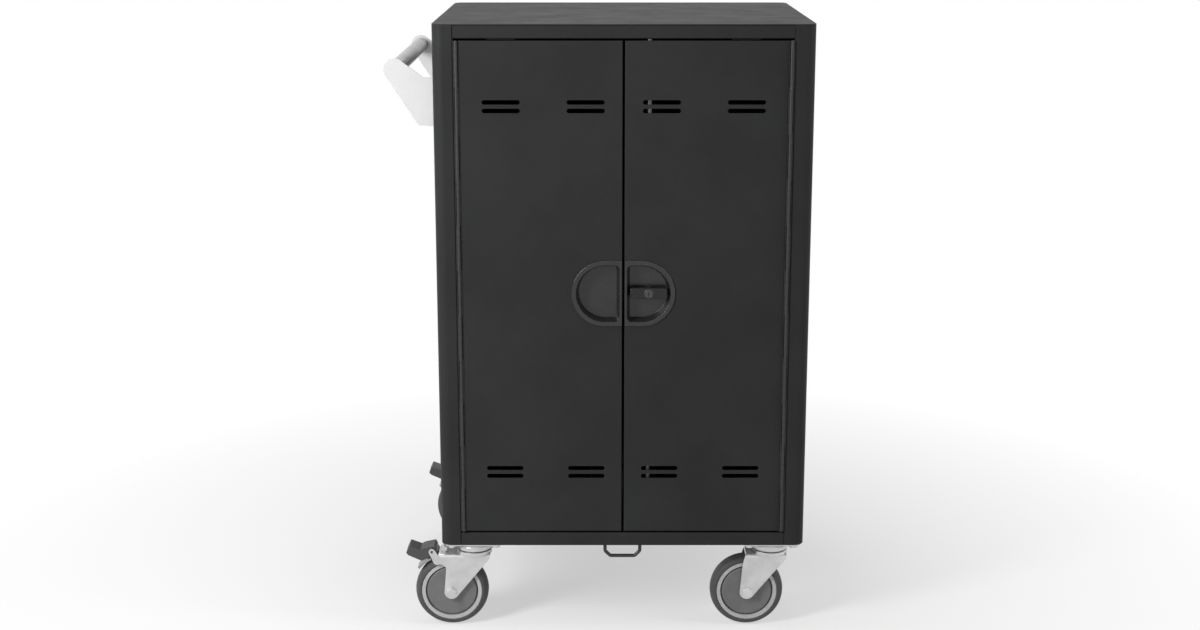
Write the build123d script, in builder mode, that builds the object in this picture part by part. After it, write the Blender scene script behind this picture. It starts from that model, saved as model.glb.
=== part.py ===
from build123d import *
import math
import os

os.makedirs("parts", exist_ok=True)

# Laptop charging cart, in millimetres. +Z is up, the doors face -Y and the push handle is on -X.
# The origin is on the floor under the centre of the cabinet.

# Cabinet shell
cabinet_w = 623.0
cabinet_d = 500.0
cabinet_h = 890.0
sheet = 1.5
lid_t = 2.0
lid_edge_r = 1.0
base_t = 2.5
corner_r = 18.0
bend_r = 2.0
stile_w = 35.0
return_d = 22.0
top_rail_h = 21.4
bottom_rail_h = 19.8
rear_rail_h = 80.0
rail_d = 34.0
sill_d = 20.0

# Doors
door_d = 20.0
door_gap = 3.5
meeting_gap = 4.0
hinge_strip = 9.5
door_edge_r = 1.2
vent_l = 62.0
vent_h = 7.5
vent_rows = (99.5, 113.5)
vent_from_middle = 62.0
vent_from_edge = 67.0
strike_w = 40.0
strike_h = 16.0

# Continuous hinges
leaf_t = 1.0
leaf_w = 17.5
barrel_r = 2.75
pin_r = 1.25
pin_fit = 0.05
pin_proud = 1.0
knuckle_count = 11
knuckle_gap = 0.3

# Magnetic door catches
catch_w = 46.0
catch_d = 12.0
catch_h = 14.0
catch_gap = 0.3
catch_edge_r = 1.0
catch_inset = 76.5

# Recessed cups at the meeting edge
cup_rise = 441.9
cup_half_h = 56.0
cup_far_x = 86.5
rim_w = 7.5
rim_meeting_w = 4.0
rim_proud = 2.0
rim_edge_r = 1.3
cup_depth = 16.0
cup_draft = 5.0
cup_wall = 1.8
cup_corner_r = 8.0
cup_fit = 0.2

# Turn handle and its lock
lever_x = 42.25
lever_w = 62.0
lever_h = 18.0
lever_t = 9.0
lever_proud = 1.0
lever_corner_r = 3.0
lever_edge_r = 1.5
hub_r = 10.0
spindle_r = 4.0
spindle_fit = 0.05
plug_r = 6.0
plug_l = 13.0
keyway_w = 1.6
keyway_h = 7.0
keyway_d = 5.0

# Rack and pinion that throws the lock rods
gear_module = 1.0
gear_teeth = 18
pressure_angle = math.radians(20.0)
backlash = 0.16
gear_t = 5.0
gear_gap = 0.3
handle_turn = math.radians(90.0)
mesh_reach = 6.3
rack_back = 5.0
rod_r = 4.0
rod_inset = 10.0
rod_peek = 2.5
guide_fit = 0.1
lug_clear = 4.0
lug_h = 10.0
case_wall = 1.5
case_half_h = 28.0
keeper_fit = 1.0

# Inside
shelf_rise = 441.5
shelf_inset = 32.0
charger_bay_d = 135.0
charger_lip = 20.0
slot_count = 10
divider_t = 1.2
divider_h = 190.0
divider_inset = 36.0
divider_nose_r = 60.0
cable_hole_w = 60.0
cable_hole_h = 24.0
cable_hole_rise = 215.0
cable_hole_count = 6
power_strip_l = 470.0
power_strip_h = 44.0
power_strip_d = 38.0
power_strip_rise = 260.0
outlet_size = 28.0
outlet_proud = 1.0
outlet_count = 8

# Power inlet in the lower rear rail
inlet_inset = 111.5
inlet_rise = 39.5
inlet_flange_w = 60.0
inlet_flange_h = 31.0
inlet_flange_t = 2.5
inlet_body_w = 47.0
inlet_body_h = 27.0
inlet_body_d = 25.0
inlet_mouth_w = 24.6
inlet_mouth_h = 16.9
inlet_mouth_d = 17.0
inlet_mouth_chamfer = 4.5
inlet_blade_w = 2.0
inlet_blade_h = 5.0
inlet_blade_l = 12.0
inlet_blade_pitch = 7.0
inlet_blade_rise = 2.0

# Rear door lock
rear_lock_inset = 61.5
rear_lock_rise = 499.5
rear_lock_r = 9.5
rear_lock_flange_r = 12.5
rear_lock_flange_t = 2.5
rear_lock_edge_r = 1.0
rear_lock_d = 22.5
cam_l = 34.0
cam_w = 14.0
cam_t = 2.5
cam_gap = 0.5

# Push handle
tube_r = 13.0
tube_wall = 1.5
tube_out = 63.5
tube_drop = 76.5
bracket_inset = 30.0
bracket_t = 3.5
bracket_nose_r = 18.0
bracket_top_drop = 89.0
bracket_bottom_drop = 170.0
bracket_knee_out = 17.0
bracket_knee_r = 1.0
bracket_heel_rise = 2.0
bracket_heel_out = 22.0
bracket_heel_r = 7.0
foot_w = 30.0
foot_trim = 6.0

# Security loop under the front of the base
loop_wire_r = 3.0
loop_w = 66.0
loop_drop = 27.0
loop_corner = 9.0
loop_bend_r = 6.0
loop_inset = 13.0

# Casters
caster_h = 158.0
caster_inset_x = 54.5
caster_inset_y = 40.0
trail = 40.0
wheel_r = 63.5
wheel_w = 32.0
plate_l = 100.0
plate_w = 75.0
plate_t = 3.0
plate_corner_r = 10.0
bolt_pitch_x = 76.0
bolt_pitch_y = 52.0
race_r = 31.0
race_drop = 19.0
race_neck_h = 3.0
race_neck_in = 2.0
race_crown_h = 4.0
race_foot = 3.0
lower_race_in = 1.0
kingpin_r = 6.0
kingpin_head_r = 10.0
kingpin_head_t = 2.5
kingpin_edge = 1.0
fork_t = 3.0
fork_top_drop = 24.5
fork_gap = 2.5
fork_bend_r = 5.0
fork_nose = 28.0
fork_tip_r = 12.5
fork_tail = 2.0
fork_waist = (3.5, 41.0)
fork_nose_step = (1.5, 8.0)
fork_lead = math.radians(56.0)
braked_tail = 22.0
braked_heel = (2.0, 51.5)
braked_heel_rise = 4.0
running_fit = 0.05
head_gap = 0.5
tyre_in_r = 52.0
tyre_edge_r = 57.0
tyre_edge_band = 3.0
tyre_edge_step = 0.6
tyre_bead = 1.0
tyre_crown = ((3.0, 4.0), (0.7, 9.0), (0.0, 13.0))
rim_in_r = 45.5
cap_r = 43.5
groove_d = 3.0
cap_inset = 2.0
cap_edge_r = 2.0
cap_edge_t = 1.0
boss_gap = 0.5
boss_taper = 2.0
axle_r = 6.0
axle_head_r = 9.2
axle_head_t = 5.0

# Brake pedals on the two casters under the handle
horn_x = -73.0
horn_rise = 4.0
horn_r = 5.5
horn_root = (9.0, -16.5)
horn_root_r = 7.0
pedal_w = 34.0
pedal_top = ((-15.7, 4.8), (-20.1, 2.1), (-39.4, 9.3))
pedal_tail = ((-45.0, -2.9), (-41.1, -7.3))
pedal_heel = (-19.0, -17.3)
pedal_toe = (-6.8, -12.8)
pedal_front = ((2.5, -5.5), (7.5, 2.6), (4.2, 9.3))
pedal_pin_r = 2.5
pedal_edge_r = 1.5
pedal_turn = math.radians(4.0)
shoe_clear = 1.9
shoe_t = 4.0
shoe_w = 24.0
shoe_from = 117.0
shoe_to = 141.0
shoe_stem = (121.0, 133.0)
shoe_stem_ends = (0.15, 0.85)
drum_r = 5.5
drum_w = 20.0
drum_x = -53.0
drum_seat = 0.3

# Fasteners
m8_r = 4.0
m8_head_r = 7.5
m8_head_t = 5.3
m8_nut_t = 6.5
m8_tail = 2.0
m6_r = 3.0
m6_head_r = 5.7
m6_head_t = 4.0
m6_nut_t = 5.0
m6_tail = 1.5
bolt_fit = 0.2
bracket_bolt_drops = (147.0, 112.0)

# Heights and depths that follow from the sizes above
half_w = cabinet_w / 2
half_d = cabinet_d / 2
base_z = caster_h
base_top = base_z + base_t
cabinet_top = base_z + cabinet_h
wall_top = cabinet_top - lid_t
inner_x = half_w - sheet
opening_x = half_w - stile_w
opening_low = base_top + bottom_rail_h
opening_high = wall_top - top_rail_h
rear_opening_low = base_top + rear_rail_h
door_low = opening_low + door_gap
door_high = opening_high - door_gap
rear_door_low = rear_opening_low + door_gap
door_edge_x = opening_x - hinge_strip
hinge_x = opening_x - hinge_strip / 2
vent_columns = (vent_from_middle, door_edge_x - vent_from_edge)
catch_x = opening_x - catch_inset
meeting_x = meeting_gap / 2
lower_shelf_z = opening_low
shelf_z = base_top + shelf_rise
partition_y = half_d - charger_bay_d
inlet_x = half_w - inlet_inset
inlet_z = base_top + inlet_rise
rear_lock_x = half_w - rear_lock_inset
rear_lock_z = base_top + rear_lock_rise
tube_z = cabinet_top - tube_drop
bracket_y = half_d - bracket_inset
bracket_top_z = cabinet_top - bracket_top_drop
bracket_bottom_z = cabinet_top - bracket_bottom_drop
bracket_bolt_z = [cabinet_top - drop for drop in bracket_bolt_drops]
caster_x = half_w - caster_inset_x
caster_y = half_d - caster_inset_y
race_z = base_z - race_drop
fork_top_z = base_z - fork_top_drop
horn_z = fork_top_z + horn_rise
cup_z = base_top + cup_rise
rim_near_x = meeting_x
mouth_near_x = meeting_x + rim_meeting_w
mouth_far_x = cup_far_x - rim_w
mouth_half_h = cup_half_h - rim_w
cup_back = cup_depth + cup_wall
gear_front = cup_back + gear_gap
gear_back = gear_front + gear_t
case_mid = gear_back + gear_gap + case_wall / 2
pitch_r = gear_module * gear_teeth / 2
rod_throw = pitch_r * handle_turn
rack_root = pitch_r + 1.25 * gear_module
rack_outer = rack_root + rack_back
lug_low = cup_half_h + lug_clear
lug_high = lug_low + lug_h
axle_z = wheel_r


def save(piece, name):
    """Label a finished piece and write it."""
    piece.part.label = name
    export_step(piece.part, f"parts/{name}.step")


def face_plane(face, inset, z=0.0):
    """Upright plane at a depth behind the front (face -1) or the rear (face 1), looking outwards."""
    return Plane(origin=(0, face * (half_d - inset), z), x_dir=(-face, 0, 0), z_dir=(0, face, 0))


def side_panel(side):
    """Side wall bent round both corners, with the front and rear stiles and their returns."""
    mid = sheet / 2
    edge = opening_x + mid
    wall = half_w - mid
    face = half_d - mid
    path = [
        (edge, return_d - half_d),
        (edge, -face),
        (wall, -face),
        (wall, face),
        (edge, face),
        (edge, half_d - return_d),
    ]
    corner = corner_r - mid
    with BuildPart() as panel:
        with BuildSketch(Plane.XY.offset(base_top)):
            with BuildLine():
                FilletPolyline(*[(side * x, y) for x, y in path], radius=[bend_r, corner, corner, bend_r])
            trace(line_width=sheet)
        extrude(amount=wall_top - base_top)
        if side < 0:
            for x, y, z in bracket_bolts_at():
                with Locations(Location((x, y, z), (0, 90, 0))):
                    Cylinder(m6_r + bolt_fit, 4 * sheet, mode=Mode.SUBTRACT)
    return panel


def bracket_bolts_at():
    """Centres of the bolts that hold the handle brackets, on the outside of the side wall."""
    reach = bracket_y - bracket_t - foot_w / 2
    return [(-half_w, y, z) for y in (-reach, reach) for z in bracket_bolt_z]


def bent_rail(path, length):
    """Sheet bent along a path of (y, z) points and running between the stiles."""
    with BuildPart() as rail:
        with BuildSketch(Plane.YZ.offset(-length / 2)):
            with BuildLine():
                FilletPolyline(*path, radius=bend_r)
            trace(line_width=sheet)
        extrude(amount=length)
    return rail


def top_rail(face):
    """Channel under the lid, open to the inside."""
    mid = sheet / 2
    back = face * (half_d - rail_d)
    front = face * (half_d - mid)
    high = wall_top - mid
    low = opening_high + mid
    return bent_rail([(back, high), (front, high), (front, low), (back, low)], 2 * opening_x)


def bottom_rail(face, height, depth):
    """Angle standing on the base, with its flange as the sill."""
    mid = sheet / 2
    front = face * (half_d - mid)
    back = face * (half_d - depth)
    high = base_top + height - mid
    return bent_rail([(front, base_top), (front, high), (back, high)], 2 * opening_x)


def rod_hole(low, high, radius):
    """Upright hole on the rods' line, to cut from a rail or a door."""
    with Locations((lever_x, rod_inset - half_d, (low + high) / 2)):
        Cylinder(radius, high - low, mode=Mode.SUBTRACT)


def caster_centres():
    """Swivel axis of each caster by name."""
    return {
        "front_left": (-caster_x, -caster_y),
        "front_right": (caster_x, -caster_y),
        "rear_left": (-caster_x, caster_y),
        "rear_right": (caster_x, caster_y),
    }


def caster_bolts_at():
    """Plan positions of the sixteen caster bolts."""
    steps = (-0.5, 0.5)
    return [
        (x + i * bolt_pitch_x, y + j * bolt_pitch_y)
        for x, y in caster_centres().values()
        for i in steps
        for j in steps
    ]


# Side walls
save(side_panel(-1), "left_side_panel")
save(side_panel(1), "right_side_panel")

# Lid
with BuildPart() as top_panel:
    with BuildSketch(Plane.XY.offset(wall_top)):
        RectangleRounded(cabinet_w, cabinet_d, corner_r)
    extrude(amount=lid_t)
    fillet(top_panel.faces().sort_by(Axis.Z)[-1].edges(), lid_edge_r)
save(top_panel, "top_panel")

# Base, drilled for the caster bolts
with BuildPart() as base_panel:
    with BuildSketch(Plane.XY.offset(base_z)):
        RectangleRounded(cabinet_w, cabinet_d, corner_r)
        with Locations(*caster_bolts_at()):
            Circle(m8_r + bolt_fit, mode=Mode.SUBTRACT)
    extrude(amount=base_t)
save(base_panel, "base_panel")

# Front rails, with the holes that the lock rods enter
with BuildPart() as front_top_rail:
    add(top_rail(-1).part)
    rod_hole(opening_high - sheet, opening_high + 2 * sheet, rod_r + keeper_fit)
save(front_top_rail, "front_top_rail")

with BuildPart() as front_bottom_rail:
    add(bottom_rail(-1, bottom_rail_h, sill_d).part)
    rod_hole(opening_low - 2 * sheet, opening_low + sheet, rod_r + keeper_fit)
save(front_bottom_rail, "front_bottom_rail")

# Rear rails. The lower one is deep and carries the power inlet.
save(top_rail(1), "rear_top_rail")

with BuildPart() as rear_bottom_rail:
    add(bottom_rail(1, rear_rail_h, sill_d).part)
    with BuildSketch(face_plane(1, 0, inlet_z)):
        with Locations((-inlet_x, 0)):
            Rectangle(inlet_body_w, inlet_body_h)
    extrude(amount=-2 * sheet, mode=Mode.SUBTRACT)
save(rear_bottom_rail, "rear_bottom_rail")

# Power inlet: flange, body and the mouth with its three blades
with BuildPart() as power_inlet:
    with BuildSketch(face_plane(1, 0, inlet_z)):
        with Locations((-inlet_x, 0)):
            RectangleRounded(inlet_flange_w, inlet_flange_h, inlet_flange_h / 4)
    extrude(amount=inlet_flange_t)
    with BuildSketch(face_plane(1, inlet_body_d, inlet_z)):
        with Locations((-inlet_x, 0)):
            Rectangle(inlet_body_w, inlet_body_h)
    extrude(amount=inlet_body_d)
    with BuildSketch(face_plane(1, -inlet_flange_t, inlet_z)):
        with Locations((-inlet_x, 0)):
            mouth = Rectangle(inlet_mouth_w, inlet_mouth_h)
        chamfer(mouth.vertices().group_by(Axis.Y)[-1], inlet_mouth_chamfer)
    extrude(amount=-inlet_mouth_d, mode=Mode.SUBTRACT)
    with BuildSketch(face_plane(1, inlet_mouth_d - inlet_flange_t, inlet_z)):
        with Locations(
            (-inlet_x, inlet_blade_rise),
            (-inlet_x - inlet_blade_pitch, -inlet_blade_rise),
            (-inlet_x + inlet_blade_pitch, -inlet_blade_rise),
        ):
            Rectangle(inlet_blade_w, inlet_blade_h)
    extrude(amount=inlet_blade_l)
save(power_inlet, "power_inlet")

# Partition between the device bay and the charger bay, with cable holes above each row of slots
with BuildPart() as partition_panel:
    with BuildSketch(Plane.XZ.offset(-partition_y)):
        with Locations((0, (base_top + wall_top) / 2)):
            Rectangle(2 * inner_x, wall_top - base_top)
        pitch = 2 * opening_x / cable_hole_count
        for floor in (lower_shelf_z, shelf_z):
            with Locations((0, floor + cable_hole_rise)):
                with GridLocations(pitch, 1, cable_hole_count, 1):
                    SlotOverall(cable_hole_w, cable_hole_h, mode=Mode.SUBTRACT)
    extrude(amount=-sheet)
save(partition_panel, "partition_panel")


def shelf(top, lip, front_y, back_y):
    """Shelf between the side walls, its front and back edges turned by the lip's height."""
    mid = sheet / 2
    level = top - mid
    path = [(front_y + mid, top - lip), (front_y + mid, level), (back_y - mid, level), (back_y - mid, top - lip)]
    return bent_rail(path, 2 * inner_x)


shelf_front_y = shelf_inset - half_d
shelf_lip = lower_shelf_z - base_top
save(shelf(shelf_z, shelf_lip, shelf_front_y, partition_y), "middle_shelf")
save(shelf(lower_shelf_z, shelf_lip, shelf_front_y, partition_y), "lower_shelf")

# Shelf for the chargers, with its rear edge turned up
with BuildPart() as charger_shelf:
    charger_front = partition_y + sheet + sheet / 2
    charger_rear = half_d - shelf_inset - sheet / 2
    level = shelf_z - sheet / 2
    with BuildSketch(Plane.YZ.offset(-inner_x)):
        with BuildLine():
            FilletPolyline(
                (charger_front, shelf_z - charger_lip),
                (charger_front, level),
                (charger_rear, level),
                (charger_rear, shelf_z + charger_lip),
                radius=bend_r,
            )
        trace(line_width=sheet)
    extrude(amount=2 * inner_x)
save(charger_shelf, "charger_shelf")

# Upright dividers that make the slots, on both shelves
with BuildPart() as slot_dividers:
    slot_pitch = 2 * opening_x / slot_count
    divider_front = divider_inset - half_d
    divider_l = partition_y - divider_front
    for floor in (lower_shelf_z, shelf_z):
        for i in range(slot_count + 1):
            x = -opening_x + i * slot_pitch
            with BuildSketch(Plane.YZ.offset(x - divider_t / 2)):
                with Locations(((divider_front + partition_y) / 2, floor + divider_h / 2)):
                    plate = Rectangle(divider_l, divider_h)
                nose = plate.vertices().group_by(Axis.X)[0].sort_by(Axis.Y)[-1]
                fillet(nose, divider_nose_r)
            extrude(amount=divider_t)
save(slot_dividers, "slot_dividers")

# Power strips on the rear of the partition, one above each charger floor
with BuildPart() as power_strips:
    strip_front = partition_y + sheet
    outlet_pitch = power_strip_l / outlet_count
    for floor in (base_top, shelf_z):
        middle = floor + power_strip_rise
        with BuildSketch(Plane.XZ.offset(-strip_front)):
            with Locations((0, middle)):
                RectangleRounded(power_strip_l, power_strip_h, power_strip_h / 6)
        extrude(amount=-power_strip_d)
        with BuildSketch(Plane.XZ.offset(-strip_front - power_strip_d)):
            with Locations((0, middle)):
                with GridLocations(outlet_pitch, 1, outlet_count, 1):
                    Rectangle(outlet_size, outlet_size)
        extrude(amount=-outlet_proud)
save(power_strips, "power_strips")

# Magnetic catches under the front top rail
with BuildPart() as door_catches:
    catch_y = door_d + catch_gap + catch_d / 2 - half_d
    with Locations(*[(side * catch_x, catch_y, opening_high - catch_h / 2) for side in (-1, 1)]):
        Box(catch_w, catch_d, catch_h)
    fillet(door_catches.edges().filter_by(Axis.X), catch_edge_r)
save(door_catches, "door_catches")


def hinge_leaf(side, face, low, high, fixed):
    """One leaf of a continuous hinge, its knuckles in every second place along the barrel."""
    wall_x = opening_x - leaf_t if fixed else door_edge_x
    root_x = opening_x if fixed else door_edge_x
    leaf_centre = (side * (wall_x + leaf_t / 2), face * (half_d - leaf_w / 2))
    web_centre = (side * (root_x + hinge_x) / 2, face * (half_d - leaf_t / 2 - pin_r + pin_proud))
    barrel = (side * hinge_x, face * (half_d + pin_proud))
    pitch = (high - low) / knuckle_count
    with BuildPart() as leaf:
        with BuildSketch(Plane.XY.offset(low)):
            with Locations(leaf_centre):
                Rectangle(leaf_t, leaf_w)
        extrude(amount=high - low)
        for i in range(0 if fixed else 1, knuckle_count, 2):
            with BuildSketch(Plane.XY.offset(low + i * pitch + knuckle_gap / 2)):
                with Locations(barrel):
                    Circle(barrel_r)
                with Locations(web_centre):
                    Rectangle(abs(root_x - hinge_x), leaf_t)
            extrude(amount=pitch - knuckle_gap)
        with BuildSketch(Plane.XY.offset(low)):
            with Locations(barrel):
                Circle(pin_r + pin_fit)
        extrude(amount=high - low, mode=Mode.SUBTRACT)
    return leaf


hinges = [(-1, -1, door_low, door_high), (1, -1, door_low, door_high), (1, 1, rear_door_low, door_high)]

with BuildPart() as hinge_frame_leaves:
    for side, face, low, high in hinges:
        add(hinge_leaf(side, face, low, high, True).part)
save(hinge_frame_leaves, "hinge_frame_leaves")

with BuildPart() as hinge_pins:
    for side, face, low, high in hinges:
        with BuildSketch(Plane.XY.offset(low)):
            with Locations((side * hinge_x, face * (half_d + pin_proud))):
                Circle(pin_r)
        extrude(amount=high - low)
save(hinge_pins, "hinge_pins")

save(hinge_leaf(-1, -1, door_low, door_high, False), "left_hinge_leaf")
save(hinge_leaf(1, -1, door_low, door_high, False), "right_hinge_leaf")
save(hinge_leaf(1, 1, rear_door_low, door_high, False), "rear_hinge_leaf")


def door_pan(face, x_low, x_high, z_low, z_high):
    """Folded door: a skin with a return along each edge, open at the back."""
    width = x_high - x_low
    height = z_high - z_low
    middle = ((x_low + x_high) / 2, face * (half_d - door_d / 2), (z_low + z_high) / 2)
    with BuildPart() as door:
        with Locations(middle):
            Box(width, door_d, height)
        front = door.faces().filter_by(Axis.Y).sort_by(Axis.Y, reverse=face > 0)[0]
        fillet(front.edges(), door_edge_r)
        with Locations((middle[0], middle[1] - face * sheet, middle[2])):
            Box(width - 2 * sheet, door_d, height - 2 * sheet, mode=Mode.SUBTRACT)
    return door


def vent_slots(columns, low, high):
    """Two rows of slots near the top and two near the bottom of a door."""
    rows = [high - rise for rise in vent_rows] + [low + rise for rise in vent_rows]
    with BuildSketch() as slots:
        with Locations(*[(x, z) for x in columns for z in rows]):
            SlotOverall(vent_l, vent_h)
    return slots.sketch


def d_outline(side, near_x, far_x, half_h, corner):
    """Half of a stadium: straight at the meeting edge and half round at the far end."""
    arc_x = far_x - half_h
    with BuildSketch() as outline:
        with BuildLine():
            Line((side * near_x, half_h), (side * arc_x, half_h))
            ThreePointArc((side * arc_x, half_h), (side * far_x, 0), (side * arc_x, -half_h))
            Line((side * arc_x, -half_h), (side * near_x, -half_h))
            Line((side * near_x, -half_h), (side * near_x, half_h))
        make_face()
        if corner > 0:
            ends = outline.vertices().group_by(Axis.X)
            fillet(ends[0] if side > 0 else ends[-1], corner)
    return outline.sketch


def mouth_outline(side, change):
    """The cup's mouth, grown all round by a change that may be negative."""
    return d_outline(
        side,
        mouth_near_x - change,
        mouth_far_x + change,
        mouth_half_h + change,
        cup_corner_r + change,
    )


def front_door(side):
    """Front door with its vents, the hole for the cup and the strike for the catch."""
    x_ends = sorted((side * meeting_x, side * door_edge_x))
    with BuildPart() as door:
        add(door_pan(-1, x_ends[0], x_ends[1], door_low, door_high).part)
        with BuildSketch(face_plane(-1, 0)):
            add(vent_slots([side * x for x in vent_columns], door_low, door_high))
        extrude(amount=-sheet, mode=Mode.SUBTRACT)
        with BuildSketch(face_plane(-1, 0, cup_z)):
            add(mouth_outline(side, cup_wall + cup_fit))
        extrude(amount=-2 * sheet, mode=Mode.SUBTRACT)
        with Locations((side * catch_x, door_d - sheet / 2 - half_d, door_high - sheet - strike_h / 2)):
            Box(strike_w, sheet, strike_h)
        if side > 0:
            rod_hole(door_high - 2 * sheet, door_high + sheet, rod_r + guide_fit)
            rod_hole(door_low - sheet, door_low + 2 * sheet, rod_r + guide_fit)
    return door


save(front_door(-1), "left_door")
save(front_door(1), "right_door")


def finger_cup(side):
    """Moulded cup with a raised rim, flanged over the door's skin."""
    with BuildPart() as cup:
        with BuildSketch(face_plane(-1, 0, cup_z)):
            add(d_outline(side, rim_near_x, cup_far_x, cup_half_h, 0))
        extrude(amount=rim_proud)
        front = cup.faces().filter_by(Axis.Y).sort_by(Axis.Y)[0]
        fillet(front.edges(), rim_edge_r)
        with BuildSketch(face_plane(-1, 0, cup_z)):
            add(mouth_outline(side, cup_wall))
        with BuildSketch(face_plane(-1, cup_back, cup_z)):
            add(mouth_outline(side, cup_wall - cup_draft))
        loft()
        with BuildSketch(face_plane(-1, 0, cup_z)):
            add(mouth_outline(side, 0))
        extrude(amount=rim_proud, mode=Mode.SUBTRACT)
        with BuildSketch(face_plane(-1, 0, cup_z)):
            add(mouth_outline(side, 0))
        with BuildSketch(face_plane(-1, cup_depth, cup_z)):
            add(mouth_outline(side, -cup_draft))
        loft(mode=Mode.SUBTRACT)
        if side > 0:
            with BuildSketch(face_plane(-1, cup_depth, cup_z)):
                with Locations((lever_x, 0)):
                    Circle(spindle_r + spindle_fit)
            extrude(amount=-cup_wall, mode=Mode.SUBTRACT)
    return cup


save(finger_cup(-1), "left_cup")
save(finger_cup(1), "right_cup")

# Turn handle: bar, hub and spindle in one piece, bored for the lock plug
lever_front = -lever_proud
lever_back = lever_front + lever_t
with BuildPart() as lever_handle:
    with BuildSketch(face_plane(-1, lever_back, cup_z)):
        with Locations((lever_x, 0)):
            RectangleRounded(lever_w, lever_h, lever_corner_r)
    extrude(amount=lever_t)
    fillet(lever_handle.faces().sort_by(Axis.Y)[0].edges(), lever_edge_r)
    with BuildSketch(face_plane(-1, cup_depth - spindle_fit, cup_z)):
        with Locations((lever_x, 0)):
            Circle(hub_r)
    extrude(amount=cup_depth - spindle_fit - lever_back)
    with BuildSketch(face_plane(-1, case_mid + case_wall, cup_z)):
        with Locations((lever_x, 0)):
            Circle(spindle_r)
    extrude(amount=case_mid + case_wall - lever_back)
    with BuildSketch(face_plane(-1, lever_front, cup_z)):
        with Locations((lever_x, 0)):
            Circle(plug_r + pin_fit)
    extrude(amount=-plug_l, mode=Mode.SUBTRACT)
save(lever_handle, "lever_handle")

# Lock plug with its keyway
with BuildPart() as lock_plug:
    with BuildSketch(face_plane(-1, lever_front + plug_l - pin_fit, cup_z)):
        with Locations((lever_x, 0)):
            Circle(plug_r)
    extrude(amount=plug_l - pin_fit)
    with BuildSketch(face_plane(-1, lever_front, cup_z)):
        with Locations((lever_x, 0)):
            Rectangle(keyway_w, keyway_h)
    extrude(amount=-keyway_d, mode=Mode.SUBTRACT)
save(lock_plug, "lock_plug")


def involute(angle):
    """Involute function of a pressure angle."""
    return math.tan(angle) - angle


def pinion_points():
    """Outline of the pinion about its centre, a tooth space facing each rack."""
    base_r = pitch_r * math.cos(pressure_angle)
    tip_r = pitch_r + gear_module
    root_r = pitch_r - 1.25 * gear_module
    half_tooth = math.pi / (2 * gear_teeth) - backlash / (4 * pitch_r)
    flank = []
    for step in range(4):
        radius = base_r + (tip_r - base_r) * step / 3
        angle = math.acos(base_r / radius)
        flank.append((radius, half_tooth + involute(pressure_angle) - involute(angle)))
    flank.insert(0, (root_r, flank[0][1]))
    points = []
    for tooth in range(gear_teeth):
        middle = 2 * math.pi * (tooth + 0.5) / gear_teeth
        polar = [(r, middle - a) for r, a in flank] + [(r, middle + a) for r, a in reversed(flank)]
        points += [(r * math.cos(a), r * math.sin(a)) for r, a in polar]
    return points


with BuildPart() as pinion:
    with BuildSketch(face_plane(-1, gear_back, cup_z)):
        with BuildLine():
            Polyline(*[(lever_x + x, z) for x, z in pinion_points()], close=True)
        make_face()
        with Locations((lever_x, 0)):
            Circle(spindle_r + 0.01, mode=Mode.SUBTRACT)
    extrude(amount=gear_t)
save(pinion, "pinion")


def rack_points():
    """Outline of the upper rack about the pinion's centre, its teeth facing the pinion."""
    pitch = math.pi * gear_module
    tip = pitch_r - gear_module
    slope = math.tan(pressure_angle)
    half = pitch / 4 - backlash / 4
    half_tip = half - gear_module * slope
    half_root = half + 1.25 * gear_module * slope
    first = -math.ceil((rod_throw + mesh_reach) / pitch)
    last = math.floor(mesh_reach / pitch)
    points = []
    for k in range(first, last + 1):
        z = k * pitch
        points += [(rack_root, z - half_root), (tip, z - half_tip), (tip, z + half_tip), (rack_root, z + half_root)]
    low = first * pitch - pitch / 2
    return [(rack_root, low)] + points + [(rack_root, lug_high), (rack_outer, lug_high), (rack_outer, low)]


def lock_rod(hand):
    """Rack, arm, lug and rod. The lower rod (hand -1) is the upper one turned half round."""
    end_z = door_high + rod_peek if hand > 0 else door_low - rod_peek
    with BuildPart() as rod:
        with BuildSketch(face_plane(-1, gear_back, cup_z)):
            with BuildLine():
                Polyline(*[(lever_x + hand * x, hand * z) for x, z in rack_points()], close=True)
            make_face()
        extrude(amount=gear_t)
        arm_w = rack_outer + rod_r
        with BuildSketch(face_plane(-1, gear_back, cup_z)):
            with Locations((lever_x + hand * (rack_outer - arm_w / 2), hand * (lug_low + lug_h / 2))):
                Rectangle(arm_w, lug_h)
        extrude(amount=gear_t)
        with BuildSketch(face_plane(-1, gear_back, cup_z)):
            with Locations((lever_x, hand * (lug_low + lug_h / 2))):
                Rectangle(2 * rod_r, lug_h)
        extrude(amount=gear_back - rod_inset + rod_r)
        reach = abs(end_z - cup_z) - lug_low
        with Locations((lever_x, rod_inset - half_d, cup_z + hand * (lug_low + reach / 2))):
            Cylinder(rod_r, reach)
    return rod


save(lock_rod(1), "upper_lock_rod")
save(lock_rod(-1), "lower_lock_rod")

# Case over the gears, its walls guiding the racks
with BuildPart() as latch_case:
    wall_x = rack_outer + gear_gap + case_wall / 2
    back_y = case_mid - half_d
    front_y = cup_back - half_d
    with BuildSketch(Plane.XY.offset(cup_z - case_half_h)):
        with BuildLine():
            FilletPolyline(
                (lever_x - wall_x, front_y),
                (lever_x - wall_x, back_y),
                (lever_x + wall_x, back_y),
                (lever_x + wall_x, front_y),
                radius=case_wall,
            )
        trace(line_width=case_wall)
    extrude(amount=2 * case_half_h)
    with BuildSketch(face_plane(-1, case_mid + case_wall, cup_z)):
        with Locations((lever_x, 0)):
            Circle(spindle_r + spindle_fit)
    extrude(amount=2 * case_wall, mode=Mode.SUBTRACT)
save(latch_case, "latch_case")

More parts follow.
